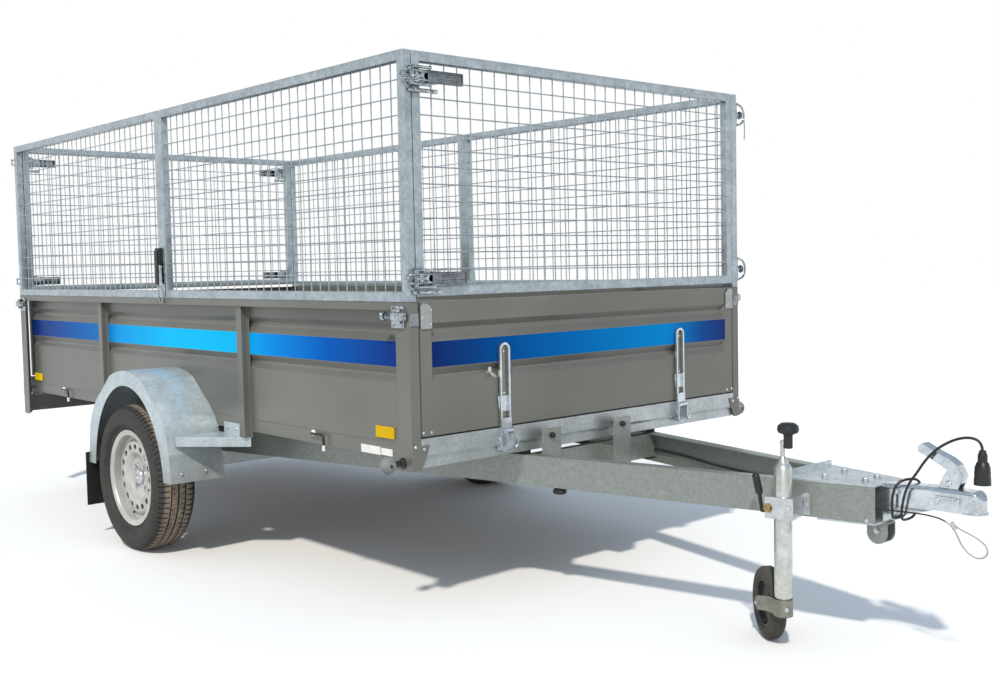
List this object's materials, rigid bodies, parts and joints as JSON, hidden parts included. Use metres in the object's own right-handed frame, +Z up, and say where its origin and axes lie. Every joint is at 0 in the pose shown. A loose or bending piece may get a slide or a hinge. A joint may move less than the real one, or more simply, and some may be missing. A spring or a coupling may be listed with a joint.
{
  "type": "single-axle utility trailer",
  "caption": "Open box trailer with drop-down end gates, lift-off mesh sides, a tipping bed, mudguards, an A-frame drawbar with ball coupling and a swivelling jockey wheel.",
  "frame": {"origin": "on the ground under the middle of the trailer's length and width", "axes": "+X forwards to the coupling, +Y to the trailer's left, +Z up"},
  "size_m": [4.4265, 1.936, 1.673],
  "materials": {
    "panel_grey": "satin dark grey",
    "galvanised": "hot-dip galvanised",
    "wall_paint": "satin dark grey with a blue band",
    "plywood": "film-faced",
    "tyre_rubber": "matte",
    "wheel_silver": "silver paint",
    "black_rubber": "matte",
    "black_plastic": "matte",
    "amber_lens": "ribbed lens",
    "red_lens": "ribbed lens",
    "marker_lens": "smooth",
    "wire_steel": "bare strands"
  },
  "bodies": {
    "drawbar": {"drawbar_beam_right": "galvanised", "drawbar_beam_left": "galvanised", "drawbar_crossmember": "galvanised", "tilt_lock_pins": "black_rubber", "rest_pads": "black_rubber", "head_plates": "galvanised", "coupling_head": "galvanised", "coupling_lever": "galvanised", "prop_bracket": "galvanised", "jockey_clamp": "galvanised", "clamp_lever": "black_plastic", "lead_cable": "black_rubber", "lead_plug": "black_plastic", "breakaway_wire": "wire_steel"},
    "bed": {"side_wall_right": "wall_paint", "side_wall_left": "wall_paint", "corner_posts": "panel_grey", "side_posts": "panel_grey", "floor_panel": "plywood", "side_sills": "galvanised", "floor_joists": "galvanised", "front_beam": "galvanised", "rear_beam": "galvanised", "lamp_board": "panel_grey", "rear_lamps": "red_lens", "marker_lamps": "marker_lens", "reflectors": "amber_lens", "axle_tube": "galvanised", "torsion_arms": "galvanised", "axle_brackets": "galvanised", "tilt_hinges": "galvanised", "mudguard_right": "galvanised", "mudguard_left": "galvanised", "mudflaps": "black_rubber", "step_brackets": "galvanised", "mesh_right": "galvanised", "mesh_left": "galvanised", "mesh_front": "galvanised", "mesh_rear": "galvanised", "mesh_latches": "galvanised", "gate_locks": "galvanised", "hinge_brackets": "galvanised"},
    "front_gate": {"front_gate": "wall_paint", "front_gate_hinges": "galvanised"},
    "rear_gate": {"rear_gate": "wall_paint", "rear_gate_hinges": "galvanised"},
    "wheel_right": {"tyre_right": "tyre_rubber", "rim_right": "wheel_silver", "hub_right": "galvanised"},
    "wheel_left": {"tyre_left": "tyre_rubber", "rim_left": "wheel_silver", "hub_left": "galvanised"},
    "jockey_tube": {"jockey_tube": "galvanised", "jockey_crank": "galvanised", "jockey_knob": "black_plastic"},
    "jockey_leg": {"jockey_leg": "galvanised"},
    "jockey_fork": {"jockey_fork": "galvanised"},
    "jockey_wheel": {"jockey_tyre": "black_rubber", "jockey_hub": "galvanised"}
  },
  "joints": [
    {"name": "bed_tilt", "type": "hinge", "parent": "drawbar", "child": "bed", "pos_m": [-0.4975, 0, 0.413], "axis": [0, -1, 0], "range_deg": [0, 14]},
    {"name": "front_gate_drop", "type": "hinge", "parent": "bed", "child": "front_gate", "pos_m": [0.9115, 0, 0.552], "axis": [0, 1, 0], "range_deg": [0, 90]},
    {"name": "rear_gate_drop", "type": "hinge", "parent": "bed", "child": "rear_gate", "pos_m": [-2.1945, 0, 0.552], "axis": [0, -1, 0], "range_deg": [0, 170]},
    {"name": "wheel_right_spin", "type": "hinge", "parent": "bed", "child": "wheel_right", "pos_m": [-0.6675, -0.868, 0.2775], "axis": [0, 1, 0], "continuous": true},
    {"name": "wheel_left_spin", "type": "hinge", "parent": "bed", "child": "wheel_left", "pos_m": [-0.6675, 0.868, 0.2775], "axis": [0, 1, 0], "continuous": true},
    {"name": "jockey_raise", "type": "slide", "parent": "drawbar", "child": "jockey_tube", "axis": [0, 0, 1], "range_m": [-0.06, 0.155]},
    {"name": "jockey_screw", "type": "slide", "parent": "jockey_tube", "child": "jockey_leg", "axis": [0, 0, -1], "range_m": [0, 0.2]},
    {"name": "jockey_swivel", "type": "hinge", "parent": "jockey_leg", "child": "jockey_fork", "pos_m": [1.7355, -0.18, 0.1], "axis": [0, 0, 1], "continuous": true},
    {"name": "jockey_wheel_spin", "type": "hinge", "parent": "jockey_fork", "child": "jockey_wheel", "pos_m": [1.63419, -0.09854, 0.1], "axis": [-0.6266, -0.7793, 0], "continuous": true}
  ]
}
